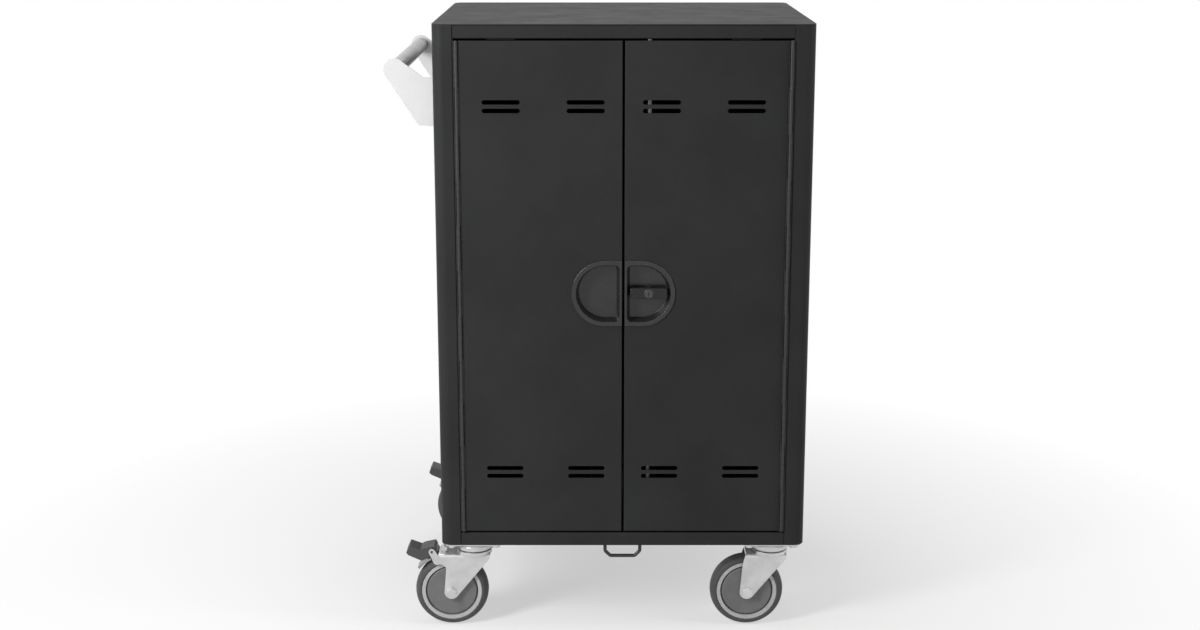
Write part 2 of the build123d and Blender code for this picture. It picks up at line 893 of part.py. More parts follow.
# Rear door with vents and the hole for its lock
rear_free_x = opening_x - door_gap
with BuildPart() as rear_door:
    add(door_pan(1, -rear_free_x, door_edge_x, rear_door_low, door_high).part)
    with BuildSketch(face_plane(1, 0)):
        add(vent_slots([side * x for x in vent_columns for side in (-1, 1)], rear_door_low, door_high))
        with Locations((rear_lock_x, rear_lock_z)):
            Circle(rear_lock_r + pin_fit)
    extrude(amount=-sheet, mode=Mode.SUBTRACT)
save(rear_door, "rear_door")

# Cam lock of the rear door: the barrel stays, the plug turns the cam behind the stile
with BuildPart() as rear_lock_body:
    with BuildSketch(face_plane(1, 0, rear_lock_z)):
        with Locations((rear_lock_x, 0)):
            Circle(rear_lock_flange_r)
    extrude(amount=rear_lock_flange_t)
    fillet(rear_lock_body.faces().sort_by(Axis.Y)[-1].edges(), rear_lock_edge_r)
    with BuildSketch(face_plane(1, rear_lock_d, rear_lock_z)):
        with Locations((rear_lock_x, 0)):
            Circle(rear_lock_r)
    extrude(amount=rear_lock_d)
    with BuildSketch(face_plane(1, rear_lock_d, rear_lock_z)):
        with Locations((rear_lock_x, 0)):
            Circle(plug_r + pin_fit)
    extrude(amount=rear_lock_d + rear_lock_flange_t, mode=Mode.SUBTRACT)
save(rear_lock_body, "rear_lock_body")

with BuildPart() as rear_lock_plug:
    cam_front = rear_lock_d + cam_gap
    plug_length = cam_front + cam_t + rear_lock_flange_t
    with BuildSketch(face_plane(1, cam_front + cam_t, rear_lock_z)):
        with Locations((rear_lock_x, 0)):
            Circle(plug_r)
    extrude(amount=plug_length)
    with BuildSketch(face_plane(1, cam_front + cam_t, rear_lock_z)):
        with Locations((rear_lock_x, cam_w / 2 - cam_l / 2)):
            SlotOverall(cam_l + cam_w / 2, cam_w, rotation=90)
    extrude(amount=cam_t)
    with BuildSketch(face_plane(1, -rear_lock_flange_t, rear_lock_z)):
        with Locations((rear_lock_x, 0)):
            Rectangle(keyway_w, keyway_h)
    extrude(amount=-keyway_d, mode=Mode.SUBTRACT)
save(rear_lock_plug, "rear_lock_plug")

# Push handle: two plate brackets, bent to a foot on the side wall, and the tube between them
tube_x = -half_w - tube_out


def bracket_outline():
    """Side view of a bracket, in X and Z."""
    heel = (-half_w - bracket_heel_out, bracket_bottom_z + bracket_heel_r + bracket_heel_rise)
    knee = (-half_w - bracket_knee_out, bracket_top_z)
    with BuildSketch() as outline:
        with Locations((tube_x, tube_z)):
            Circle(bracket_nose_r)
        with Locations(heel):
            Circle(bracket_heel_r)
        with Locations((knee[0] - bracket_knee_r, knee[1] - bracket_knee_r)):
            Circle(bracket_knee_r)
        make_hull()
        with BuildLine():
            Polyline(
                (heel[0], heel[1] - bracket_heel_r),
                (-half_w, bracket_bottom_z),
                (-half_w, bracket_top_z),
                knee,
                (knee[0] - 2 * bracket_knee_r, knee[1] - 2 * bracket_knee_r),
                close=True,
            )
        make_face()
    return outline.sketch


with BuildPart() as handle_brackets:
    for end in (-1, 1):
        outer = end * bracket_y
        with BuildSketch(Plane.XZ.offset(-outer)):
            add(bracket_outline())
        extrude(amount=end * bracket_t)
        foot_y = end * (bracket_y - foot_w / 2)
        foot_h = bracket_top_z - bracket_bottom_z - 2 * foot_trim
        with Locations((-half_w - bracket_t / 2, foot_y, (bracket_top_z + bracket_bottom_z) / 2)):
            Box(bracket_t, foot_w, foot_h)
    for x, y, z in bracket_bolts_at():
        with Locations(Location((x, y, z), (0, 90, 0))):
            Cylinder(m6_r + bolt_fit, 4 * bracket_t, mode=Mode.SUBTRACT)
save(handle_brackets, "handle_brackets")

with BuildPart() as handle_tube:
    tube_l = 2 * (bracket_y - bracket_t)
    with BuildSketch(Plane.XZ.offset(-tube_l / 2)):
        with Locations((tube_x, tube_z)):
            Circle(tube_r)
            Circle(tube_r - tube_wall, mode=Mode.SUBTRACT)
    extrude(amount=tube_l)
save(handle_tube, "handle_tube")


def hex_bolt(head_r, head_t, shank_r, grip, nut_t, tail):
    """Bolt along +Z from the seat of its head at the origin, with its nut beyond the grip."""
    with BuildPart() as bolt:
        with BuildSketch(Plane.XY.offset(-head_t)):
            RegularPolygon(head_r, 6)
        extrude(amount=head_t)
        with BuildSketch(Plane.XY):
            Circle(shank_r)
        extrude(amount=grip + nut_t + tail)
        with BuildSketch(Plane.XY.offset(grip)):
            RegularPolygon(head_r, 6)
        extrude(amount=nut_t)
    return bolt.part


m6_bolt = hex_bolt(m6_head_r, m6_head_t, m6_r, bracket_t + sheet, m6_nut_t, m6_tail)
with BuildPart() as bracket_bolts:
    for x, y, z in bracket_bolts_at():
        add(Location((x - bracket_t, y, z), (0, 90, 0)) * m6_bolt)
save(bracket_bolts, "bracket_bolts")

m8_bolt = hex_bolt(m8_head_r, m8_head_t, m8_r, plate_t + base_t, m8_nut_t, m8_tail)
with BuildPart() as caster_bolts:
    for x, y in caster_bolts_at():
        add(Location((x, y, base_z - plate_t)) * m8_bolt)
save(caster_bolts, "caster_bolts")

# Security loop: one bent rod with both ends welded to the base
with BuildPart() as security_loop:
    leg_x = loop_w / 2 - loop_wire_r
    low = base_z - loop_drop + loop_wire_r
    loop_y = loop_inset - half_d
    with BuildLine() as loop_path:
        FilletPolyline(
            (-leg_x, loop_y, base_z),
            (-leg_x, loop_y, low + loop_corner),
            (-leg_x + loop_corner, loop_y, low),
            (leg_x - loop_corner, loop_y, low),
            (leg_x, loop_y, low + loop_corner),
            (leg_x, loop_y, base_z),
            radius=loop_bend_r,
        )
    with BuildSketch(Plane(origin=(-leg_x, loop_y, base_z), z_dir=(0, 0, -1))):
        Circle(loop_wire_r)
    sweep()
save(security_loop, "security_loop")

# Caster top plates, each with its upper race and kingpin
with BuildPart() as caster_plates:
    for cx, cy in caster_centres().values():
        with BuildSketch(Plane.XY.offset(base_z - plate_t)):
            with Locations((cx, cy)):
                RectangleRounded(plate_l, plate_w, plate_corner_r)
                with GridLocations(bolt_pitch_x, bolt_pitch_y, 2, 2):
                    Circle(m8_r + bolt_fit, mode=Mode.SUBTRACT)
        extrude(amount=plate_t)
        with BuildSketch(Plane(origin=(cx, cy, 0), x_dir=(1, 0, 0), z_dir=(0, -1, 0))):
            top = base_z - plate_t
            shoulder = top - race_neck_h
            pin_end = fork_top_z - fork_t - kingpin_head_t - head_gap
            with BuildLine():
                Polyline(
                    (0, top),
                    (race_r - race_neck_in - race_neck_h, top),
                    (race_r - race_neck_in, shoulder),
                    (race_r, shoulder - race_crown_h),
                    (race_r, race_z + race_foot),
                    (race_r - race_foot, race_z),
                    (kingpin_r, race_z),
                    (kingpin_r, pin_end + kingpin_head_t),
                    (kingpin_head_r, pin_end + kingpin_head_t),
                    (kingpin_head_r - kingpin_edge, pin_end),
                    (0, pin_end),
                    close=True,
                )
            make_face()
        revolve(axis=Axis((cx, cy, 0), (0, 0, 1)))
save(caster_plates, "caster_plates")


def fork(cx, cy, braked):
    """Swivel fork: a folded channel cut to the shape of its legs, with the lower race on top."""
    leg_y = wheel_w / 2 + fork_gap
    mid = fork_t / 2
    tail_x = -trail - (braked_tail if braked else fork_tail)
    start_x = tail_x - fork_tip_r
    with BuildPart() as body:
        with BuildSketch(Plane(origin=(cx + start_x, cy, 0), x_dir=(0, 1, 0), z_dir=(1, 0, 0))):
            with BuildLine():
                FilletPolyline(
                    (-leg_y - mid, axle_z - 2 * fork_tip_r),
                    (-leg_y - mid, fork_top_z - mid),
                    (leg_y + mid, fork_top_z - mid),
                    (leg_y + mid, axle_z - 2 * fork_tip_r),
                    radius=fork_bend_r,
                )
            trace(line_width=fork_t)
        extrude(amount=fork_nose - start_x)
        with BuildSketch(Plane(origin=(cx, cy, 0), x_dir=(1, 0, 0), z_dir=(0, -1, 0))):
            with BuildLine():
                tip = -trail - fork_tip_r
                start = (tip, axle_z)
                waist = (tip + fork_waist[0], axle_z + fork_waist[1])
                if braked:
                    heel = (tail_x + braked_heel[0], axle_z + braked_heel[1])
                    Line(start, waist)
                    Spline(waist, heel, tangents=[(0.1, 1), (-1, 0.05)])
                    shoulder = (tail_x, heel[1] + braked_heel_rise)
                    Line(heel, shoulder)
                    Line(shoulder, (tail_x, fork_top_z))
                else:
                    heel = (tail_x, fork_top_z)
                    Line(start, waist)
                    Spline(waist, heel, tangents=[(0.1, 1), (0.6, 1)])
                Line((tail_x, fork_top_z), (fork_nose, fork_top_z))
                step = (fork_nose - fork_nose_step[0], fork_top_z - fork_nose_step[1])
                Line((fork_nose, fork_top_z), step)
                toe = (fork_tip_r * math.sin(fork_lead) - trail, axle_z - fork_tip_r * math.cos(fork_lead))
                Line(step, toe)
                ThreePointArc(toe, (-trail, axle_z - fork_tip_r), start)
            make_face()
        extrude(amount=leg_y + 2 * fork_t, both=True, mode=Mode.INTERSECT)
        if braked:
            for end in (-1, 1):
                inner = cy + end * leg_y
                with BuildSketch(Plane(origin=(cx, inner, 0), x_dir=(1, 0, 0), z_dir=(0, -1, 0))):
                    with Locations((horn_x, horn_z)):
                        Circle(horn_r)
                    with Locations((horn_x + horn_root[0], horn_z + horn_root[1])):
                        Circle(horn_root_r)
                    make_hull()
                    with Locations((horn_x, horn_z)):
                        Circle(pedal_pin_r, mode=Mode.SUBTRACT)
                extrude(amount=-end * fork_t)
            with Locations(Location((cx + drum_x, cy, fork_top_z + drum_r - drum_seat), (90, 0, 0))):
                Cylinder(drum_r, drum_w)
        with BuildSketch(Plane.XY.offset(fork_top_z - mid)):
            with Locations((cx, cy)):
                Circle(race_r - lower_race_in)
        extrude(amount=race_z - head_gap - fork_top_z + mid)
        with BuildSketch(Plane.XY.offset(fork_top_z - fork_t)):
            with Locations((cx, cy)):
                Circle(kingpin_r + running_fit)
        extrude(amount=race_z - fork_top_z + fork_t, mode=Mode.SUBTRACT)
        with Locations(Location((cx - trail, cy, axle_z), (90, 0, 0))):
            Cylinder(axle_r + running_fit, 4 * leg_y, mode=Mode.SUBTRACT)
    return body


def revolved_wheel(cx, cy, points):
    """Solid of revolution about the wheel's axle, from (radius, half width) points of one half."""
    profile = points + [(r, -w) for r, w in reversed(points)]
    axle = (cx - trail, cy, axle_z)
    with BuildPart() as piece:
        with BuildSketch(Plane(origin=axle, x_dir=(0, 0, 1), z_dir=(1, 0, 0))):
            with BuildLine():
                Polyline(*profile, close=True)
            make_face()
        revolve(axis=Axis(axle, (0, 1, 0)))
    return piece


def tyre(cx, cy):
    """Crowned tyre."""
    half = wheel_w / 2
    points = [
        (tyre_in_r, half - tyre_bead),
        (tyre_edge_r - tyre_edge_band, half),
        (tyre_edge_r, half - tyre_edge_step),
    ]
    points += [(wheel_r - drop, half - inset) for drop, inset in tyre_crown]
    return revolved_wheel(cx, cy, points)


def wheel_core(cx, cy):
    """Wheel body: bright rim, a groove and the closed cap, bored for the axle."""
    half = wheel_w / 2
    points = [
        (axle_r + running_fit, half + fork_gap - boss_gap),
        (fork_tip_r - boss_taper, half + fork_gap - boss_gap),
        (fork_tip_r, half - cap_inset),
        (cap_r - cap_edge_r, half - cap_inset),
        (cap_r, half - cap_inset - cap_edge_t),
        (cap_r, half - cap_inset - groove_d),
        (rim_in_r, half - cap_inset - groove_d),
        (rim_in_r + cap_edge_t / 2, half - tyre_bead),
        (tyre_in_r, half - tyre_bead),
    ]
    return revolved_wheel(cx, cy, points)


def axle_bolt(cx, cy):
    """Axle with a hexagon at each end."""
    reach = wheel_w / 2 + fork_gap + fork_t
    centre = (cx - trail, cy, axle_z)
    with BuildPart() as bolt:
        with BuildSketch(Plane(origin=centre, z_dir=(0, 1, 0))):
            Circle(axle_r)
        extrude(amount=reach, both=True)
        for end in (-1, 1):
            with BuildSketch(Plane(origin=(centre[0], cy + end * reach, axle_z), z_dir=(0, end, 0))):
                RegularPolygon(axle_head_r, 6)
            extrude(amount=axle_head_t)
    return bolt


def brake_pedal(cx, cy):
    """Rocker pedal on a pin between the fork's horns."""
    outline = [*pedal_top, *pedal_tail, pedal_heel, pedal_toe, *pedal_front]
    with BuildPart() as pedal:
        with BuildSketch(Plane(origin=(cx, cy, 0), x_dir=(1, 0, 0), z_dir=(0, -1, 0))):
            with BuildLine():
                Polyline(*[(horn_x + x, horn_z + z) for x, z in outline], close=True)
            face = make_face()
            fillet(face.vertices(), pedal_edge_r)
        extrude(amount=pedal_w / 2, both=True)
        with Locations(Location((cx + horn_x, cy, horn_z), (90, 0, 0))):
            Cylinder(pedal_pin_r - running_fit, 2 * (wheel_w / 2 + fork_gap + fork_t))
    return pedal


def pad_centre():
    """Centre of the pad's arc at rest: the axle, turned back about the pedal's pin by its stroke."""
    x = -trail - horn_x
    z = axle_z - horn_z
    cos, sin = math.cos(pedal_turn), math.sin(pedal_turn)
    return (horn_x + x * cos + z * sin, horn_z - x * sin + z * cos)


def about_pad(radius, degrees):
    """Point in X and Z at a radius and an angle about the pad's centre."""
    angle = math.radians(degrees)
    x, z = pad_centre()
    return (x + radius * math.cos(angle), z + radius * math.sin(angle))


def along_sole(share):
    """Point on the pedal's underside between its heel and its toe."""
    run = (pedal_toe[0] - pedal_heel[0], pedal_toe[1] - pedal_heel[1])
    return (horn_x + pedal_heel[0] + share * run[0], horn_z + pedal_heel[1] + share * run[1])


def brake_shoe(cx, cy):
    """Curved pad on a stem under the pedal, which follows the tread when the pedal is down."""
    centre = pad_centre()
    inner = wheel_r + shoe_clear
    middle = inner + shoe_t / 2
    with BuildPart() as shoe:
        with BuildSketch(Plane(origin=(cx, cy, 0), x_dir=(1, 0, 0), z_dir=(0, -1, 0))):
            with Locations(centre):
                Circle(inner + shoe_t)
                Circle(inner, mode=Mode.SUBTRACT)
            with BuildLine():
                Polyline(centre, about_pad(2 * inner, shoe_from), about_pad(2 * inner, shoe_to), close=True)
            make_face(mode=Mode.INTERSECT)
            with BuildLine():
                Polyline(
                    along_sole(shoe_stem_ends[0]),
                    along_sole(shoe_stem_ends[1]),
                    about_pad(middle, shoe_stem[0]),
                    about_pad(middle, shoe_stem[1]),
                    close=True,
                )
            make_face()
        extrude(amount=shoe_w / 2, both=True)
    return shoe


for corner, (cx, cy) in caster_centres().items():
    braked = cx < 0
    save(fork(cx, cy, braked), f"{corner}_fork")
    save(tyre(cx, cy), f"{corner}_tyre")
    save(wheel_core(cx, cy), f"{corner}_wheel_core")
    save(axle_bolt(cx, cy), f"{corner}_axle")
    if braked:
        save(brake_pedal(cx, cy), f"{corner}_brake_pedal")
        save(brake_shoe(cx, cy), f"{corner}_brake_shoe")
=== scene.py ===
"""The laptop charging cart dressed for rendering: finishes, added pieces, studio and camera."""
import math

import bmesh
import bpy
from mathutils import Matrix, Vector


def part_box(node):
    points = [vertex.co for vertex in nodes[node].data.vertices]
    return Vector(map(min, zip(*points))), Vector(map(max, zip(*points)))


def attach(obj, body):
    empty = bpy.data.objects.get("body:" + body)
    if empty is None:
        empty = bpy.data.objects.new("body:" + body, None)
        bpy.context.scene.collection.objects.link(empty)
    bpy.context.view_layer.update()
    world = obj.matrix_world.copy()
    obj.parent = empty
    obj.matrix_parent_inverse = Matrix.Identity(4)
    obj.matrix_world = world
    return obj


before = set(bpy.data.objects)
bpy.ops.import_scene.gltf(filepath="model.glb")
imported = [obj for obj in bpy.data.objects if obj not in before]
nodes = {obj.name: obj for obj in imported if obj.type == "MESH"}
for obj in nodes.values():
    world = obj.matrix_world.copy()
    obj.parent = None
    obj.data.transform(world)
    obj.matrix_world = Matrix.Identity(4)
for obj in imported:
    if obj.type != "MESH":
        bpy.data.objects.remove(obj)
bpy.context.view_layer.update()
MM = 0.001

# Wheels: the radii between which one part of the surface gives way to the next
CAP_EDGE = (43.2 * MM, 43.4 * MM)
GROOVE_EDGE = (45.3 * MM, 45.5 * MM)
TREAD_WEAR = (62.2 * MM, 63.4 * MM)

HINGE_KNUCKLE_PITCH = 12.7 * MM
PEDAL_RIB_PITCH = 3.4 * MM
PRESSED_EDGE = 0.7 * MM

# Partition: six cable slots in each of two rows
SLOT_COLUMNS = 6
SLOT_PITCH = 553 * MM / SLOT_COLUMNS
SLOT_ROWS_Z = (395.3 * MM, 817.0 * MM)
SLOT_LENGTH = 58.4 * MM
SLOT_HEIGHT = 22.4 * MM
GROMMET_RADIUS = 1.7 * MM

# Power strips: eight outlets each, and the contact openings of an outlet as
# sideways and upward offsets from its centre, width and height
OUTLETS = 8
OUTLET_PITCH = 470 * MM / OUTLETS
STRIP_ROWS_Z = (420.5 * MM, 862.0 * MM)
CONTACTS = (
    (-6.3 * MM, 3.0 * MM, 2.4 * MM, 8.0 * MM),
    (6.3 * MM, 3.0 * MM, 2.4 * MM, 7.0 * MM),
    (0.0, -7.0 * MM, 5.0 * MM, 5.0 * MM),
)
CONTACT_PROUD = 0.1 * MM
CONTACT_DEPTH = 0.4 * MM

# Sockets of a Mix node that mixes colours, which share their names with others
MIX_LOW, MIX_HIGH, MIX_RESULT = 6, 7, 2


# Materials

def new_material(name, rough=0.5, metallic=0.0, specular=0.5):
    """A node tree with a Principled shader, and the object's own coordinates in metres."""
    mat = bpy.data.materials.new(name)
    mat.use_nodes = True
    tree = mat.node_tree
    tree.nodes.clear()
    out = tree.nodes.new("ShaderNodeOutputMaterial")
    bsdf = tree.nodes.new("ShaderNodeBsdfPrincipled")
    tree.links.new(bsdf.outputs["BSDF"], out.inputs["Surface"])
    bsdf.inputs["Roughness"].default_value = rough
    bsdf.inputs["Metallic"].default_value = metallic
    bsdf.inputs["Specular IOR Level"].default_value = specular
    coord = tree.nodes.new("ShaderNodeTexCoord")
    return mat, tree, bsdf, coord.outputs["Object"]


def finish_with(tree, bsdf, colour, rough):
    """Link a colour and a roughness to the shader."""
    tree.links.new(colour, bsdf.inputs["Base Color"])
    tree.links.new(rough, bsdf.inputs["Roughness"])


def stretch(tree, coord, scale):
    """Coordinates scaled by a different amount along each axis."""
    mapping = tree.nodes.new("ShaderNodeMapping")
    mapping.inputs["Scale"].default_value = scale
    tree.links.new(coord, mapping.inputs["Vector"])
    return mapping.outputs["Vector"]


def noise(tree, coord, scale, detail=3.0, rough=0.5):
    """Noise value over the coordinates."""
    node = tree.nodes.new("ShaderNodeTexNoise")
    node.inputs["Scale"].default_value = scale
    node.inputs["Detail"].default_value = detail
    node.inputs["Roughness"].default_value = rough
    tree.links.new(coord, node.inputs["Vector"])
    return node.outputs["Fac"]


def remap(tree, value, given, wanted=(0, 1)):
    """A value mapped from the given range to the wanted one, and clamped to it."""
    node = tree.nodes.new("ShaderNodeMapRange")
    node.inputs["From Min"].default_value, node.inputs["From Max"].default_value = given
    node.inputs["To Min"].default_value, node.inputs["To Max"].default_value = wanted
    tree.links.new(value, node.inputs["Value"])
    return node.outputs["Result"]


def blend_colours(tree, factor, low, high):
    """A colour between two, each a plain colour or a linked one, by a factor."""
    node = tree.nodes.new("ShaderNodeMix")
    node.data_type = "RGBA"
    tree.links.new(factor, node.inputs["Factor"])
    for value, socket in ((low, node.inputs[MIX_LOW]), (high, node.inputs[MIX_HIGH])):
        if isinstance(value, tuple):
            socket.default_value = (*value, 1.0)
        else:
            tree.links.new(value, socket)
    return node.outputs[MIX_RESULT]


def bump(tree, bsdf, height, depth, strength, base=None):
    """Bump of a real depth in metres, on top of an earlier normal if there is one."""
    node = tree.nodes.new("ShaderNodeBump")
    node.inputs["Distance"].default_value = depth
    node.inputs["Strength"].default_value = strength
    tree.links.new(height, node.inputs["Height"])
    if base is not None:
        tree.links.new(base, node.inputs["Normal"])
    tree.links.new(node.outputs["Normal"], bsdf.inputs["Normal"])
    return node.outputs["Normal"]


def rounded_edges(tree, radius):
    """A normal that rounds the sharp edges of a moulding or a pressing."""
    node = tree.nodes.new("ShaderNodeBevel")
    node.samples = 6
    node.inputs["Radius"].default_value = radius
    return node.outputs["Normal"]


def grey(value, tint=0.0):
    """A near-neutral linear colour, slightly blue with a positive tint."""
    return (value * (1 - tint), value, value * (1 + tint))


def powder_coat(name, low, high, rough=(0.42, 0.56), specular=0.5, grain=900.0, depth=0.12 * MM):
    """Fine-textured powder coat: orange peel, faint mottling, pale flecks and light wear."""
    mat, tree, bsdf, coord = new_material(name, specular=specular)
    mottle = noise(tree, coord, scale=7.0, detail=4.0, rough=0.6)
    colour = blend_colours(tree, remap(tree, mottle, (0.35, 0.65)), low, high)
    flecks = remap(tree, noise(tree, coord, scale=1500.0, detail=1.0), (0.62, 0.72), (0, 0.35))
    colour = blend_colours(tree, flecks, colour, tuple(min(1.0, 1.7 * c) for c in high))
    smudge = noise(tree, coord, scale=16.0, detail=5.0, rough=0.65)
    finish_with(tree, bsdf, colour, remap(tree, smudge, (0.3, 0.7), rough))
    orange_peel = noise(tree, coord, scale=260.0, detail=2.0)
    peel = bump(tree, bsdf, orange_peel, depth=2.5 * depth, strength=0.25)
    fine_grain = noise(tree, coord, scale=grain, detail=2.0, rough=0.6)
    bump(tree, bsdf, fine_grain, depth=depth, strength=0.6, base=peel)
    return mat


def moulded(name, low, high, rough, specular=0.5, edge=0.8 * MM):
    """Moulded plastic with rounded edges and a fine spark-eroded grain."""
    mat, tree, bsdf, coord = new_material(name, specular=specular)
    tone = remap(tree, noise(tree, coord, scale=22.0), (0.35, 0.65))
    colour = blend_colours(tree, tone, low, high)
    handling = noise(tree, coord, scale=45.0, detail=4.0)
    finish_with(tree, bsdf, colour, remap(tree, handling, (0.3, 0.7), rough))
    grain = noise(tree, coord, scale=1400.0, detail=2.0)
    bump(tree, bsdf, grain, depth=0.06 * MM, strength=0.5, base=rounded_edges(tree, edge))
    return mat


def plated(name, low, high, rough, streaks=(60.0, 60.0, 900.0)):
    """Plated or plain steel: drawn streaks, cloudy patches, fine scratches and rounded edges."""
    mat, tree, bsdf, coord = new_material(name, metallic=0.9)
    drawn = noise(tree, stretch(tree, coord, streaks), scale=1.0, detail=4.0, rough=0.6)
    cloud = noise(tree, coord, scale=38.0, detail=4.0, rough=0.6)
    mixed = blend_colours(tree, remap(tree, cloud, (0.3, 0.7)), low, high)
    dull = remap(tree, drawn, (0.58, 0.74), (0, 0.35))
    colour = blend_colours(tree, dull, mixed, tuple(0.7 * c for c in low))
    finish_with(tree, bsdf, colour, remap(tree, drawn, (0.3, 0.7), rough))
    edges = rounded_edges(tree, PRESSED_EDGE)
    bump(tree, bsdf, drawn, depth=0.04 * MM, strength=0.5, base=edges)
    return mat


def from_axle(tree, coord, x, z):
    """Distance from a wheel's axle, which runs along Y."""
    shift = tree.nodes.new("ShaderNodeVectorMath")
    shift.operation = "SUBTRACT"
    shift.inputs[1].default_value = (x, 0, z)
    flat = tree.nodes.new("ShaderNodeVectorMath")
    flat.operation = "MULTIPLY"
    flat.inputs[1].default_value = (1, 0, 1)
    length = tree.nodes.new("ShaderNodeVectorMath")
    length.operation = "LENGTH"
    tree.links.new(coord, shift.inputs[0])
    tree.links.new(shift.outputs["Vector"], flat.inputs[0])
    tree.links.new(flat.outputs["Vector"], length.inputs[0])
    return length.outputs["Value"]


def ridges(tree, coord, axis, pitch):
    """Ridges of a given pitch in metres along one axis."""
    node = tree.nodes.new("ShaderNodeTexWave")
    node.bands_direction = axis
    node.wave_profile = "SIN"
    # A wave of scale 1 repeats every pi / 10 metres
    node.inputs["Scale"].default_value = math.pi / (10 * pitch)
    tree.links.new(coord, node.inputs["Vector"])
    return node.outputs["Fac"]


def core_material(corner, x, z):
    """Core of one wheel: a grey cap, a dark groove and a pale rim round it."""
    mat, tree, bsdf, coord = new_material(f"{corner}_core_finish")
    radius = from_axle(tree, coord, x, z)
    cloud = remap(tree, noise(tree, coord, scale=60.0, detail=4.0), (0.3, 0.7))
    cap = blend_colours(tree, cloud, grey(0.135), grey(0.165))
    rim = blend_colours(tree, cloud, grey(0.43), grey(0.52))
    past_cap = remap(tree, radius, CAP_EDGE)
    past_groove = remap(tree, radius, GROOVE_EDGE)
    inner = blend_colours(tree, past_cap, cap, grey(0.02))
    colour = blend_colours(tree, past_groove, inner, rim)
    finish_with(tree, bsdf, colour, remap(tree, past_groove, (0, 1), (0.5, 0.34)))
    grain = noise(tree, coord, scale=1200.0, detail=2.0)
    bump(tree, bsdf, grain, depth=0.05 * MM, strength=0.5)
    return mat


def tyre_material(corner, x, z):
    """Dusty rubber, paler where the tread is worn."""
    mat, tree, bsdf, coord = new_material(f"{corner}_tyre_finish", specular=0.35)
    radius = from_axle(tree, coord, x, z)
    dust = remap(tree, noise(tree, coord, scale=30.0, detail=5.0, rough=0.7), (0.35, 0.7))
    rubber = blend_colours(tree, dust, grey(0.055), grey(0.085))
    worn = remap(tree, radius, TREAD_WEAR, (0, 0.5))
    colour = blend_colours(tree, worn, rubber, grey(0.16))
    finish_with(tree, bsdf, colour, remap(tree, dust, (0, 1), (0.58, 0.8)))
    grain = noise(tree, coord, scale=700.0, detail=4.0, rough=0.65)
    bump(tree, bsdf, grain, depth=0.18 * MM, strength=0.5)
    return mat


def pedal_material():
    """Dark moulding with grip ridges across the foot plate."""
    mat, tree, bsdf, coord = new_material("pedal_finish")
    tone = remap(tree, noise(tree, coord, scale=40.0, detail=4.0), (0.3, 0.7))
    colour = blend_colours(tree, tone, grey(0.04), grey(0.06))
    finish_with(tree, bsdf, colour, remap(tree, tone, (0, 1), (0.4, 0.6)))
    grip = ridges(tree, coord, "Y", PEDAL_RIB_PITCH)
    ribs = bump(tree, bsdf, grip, depth=0.5 * MM, strength=0.6)
    grain = noise(tree, coord, scale=1100.0, detail=2.0)
    bump(tree, bsdf, grain, depth=0.07 * MM, strength=0.5, base=ribs)
    return mat


def hinge_material():
    """Painted hinge with the fine knuckle joints of a continuous hinge."""
    mat, tree, bsdf, coord = new_material("hinge_finish", specular=0.3)
    knuckles = ridges(tree, coord, "Z", HINGE_KNUCKLE_PITCH)
    gaps = remap(tree, knuckles, (0.0, 0.06))
    colour = blend_colours(tree, gaps, grey(0.02), grey(0.034))
    handling = noise(tree, coord, scale=50.0)
    finish_with(tree, bsdf, colour, remap(tree, handling, (0.3, 0.7), (0.35, 0.5)))
    lines = bump(tree, bsdf, gaps, depth=0.3 * MM, strength=0.35)
    grain = noise(tree, coord, scale=900.0, detail=2.0)
    bump(tree, bsdf, grain, depth=0.1 * MM, strength=0.4, base=lines)
    return mat


cabinet_paint = powder_coat(
    "cabinet_finish", grey(0.026, 0.01), grey(0.031, 0.01), specular=0.07
)
lid_paint = powder_coat(
    "lid_finish", grey(0.031, 0.01), grey(0.036, 0.01), rough=(0.5, 0.62), specular=0.08
)
inner_paint = powder_coat(
    "inner_finish", grey(0.028, 0.01), grey(0.034, 0.01), rough=(0.5, 0.64), specular=0.2
)
bracket_paint = powder_coat(
    "bracket_finish", grey(0.66), grey(0.71), rough=(0.35, 0.5), grain=700.0
)
loop_paint = powder_coat(
    "loop_finish", grey(0.014), grey(0.02), rough=(0.22, 0.36), grain=600.0
)
tube_paint = powder_coat(
    "tube_finish", grey(0.32), grey(0.38), rough=(0.25, 0.36), grain=1200.0, depth=0.04 * MM
)
cup_plastic = moulded(
    "cup_finish", grey(0.012), grey(0.017), rough=(0.2, 0.3), edge=1.5 * MM
)
lever_plastic = moulded(
    "lever_finish", grey(0.007), grey(0.01), rough=(0.18, 0.28), specular=0.36, edge=1.2 * MM
)
dull_plastic = moulded(
    "strip_finish", grey(0.018), grey(0.026), rough=(0.4, 0.56)
)
zinc = plated(
    "zinc_finish", grey(0.52), grey(0.64), rough=(0.26, 0.42)
)
bolt_zinc = plated(
    "bolt_finish", grey(0.56), grey(0.7), rough=(0.22, 0.4), streaks=(200.0, 200.0, 200.0)
)
dark_steel = plated(
    "plug_finish", grey(0.06), grey(0.09), rough=(0.2, 0.32), streaks=(300.0, 80.0, 300.0)
)
# Lock rods: the steel darkened as painted shade, for the shade they sit in inside the cabinet
shaded_rod_steel = plated(
    "rod_finish_painted_shade", grey(0.1), grey(0.14), rough=(0.42, 0.56), streaks=(300.0, 300.0, 80.0)
)
shoe_zinc = plated(
    "shoe_finish", grey(0.3), grey(0.4), rough=(0.3, 0.46), streaks=(240.0, 240.0, 240.0)
)
steel = plated(
    "steel_finish", grey(0.55), grey(0.66), rough=(0.16, 0.3), streaks=(300.0, 300.0, 80.0)
)
pedal_finish = pedal_material()
hinge_finish = hinge_material()

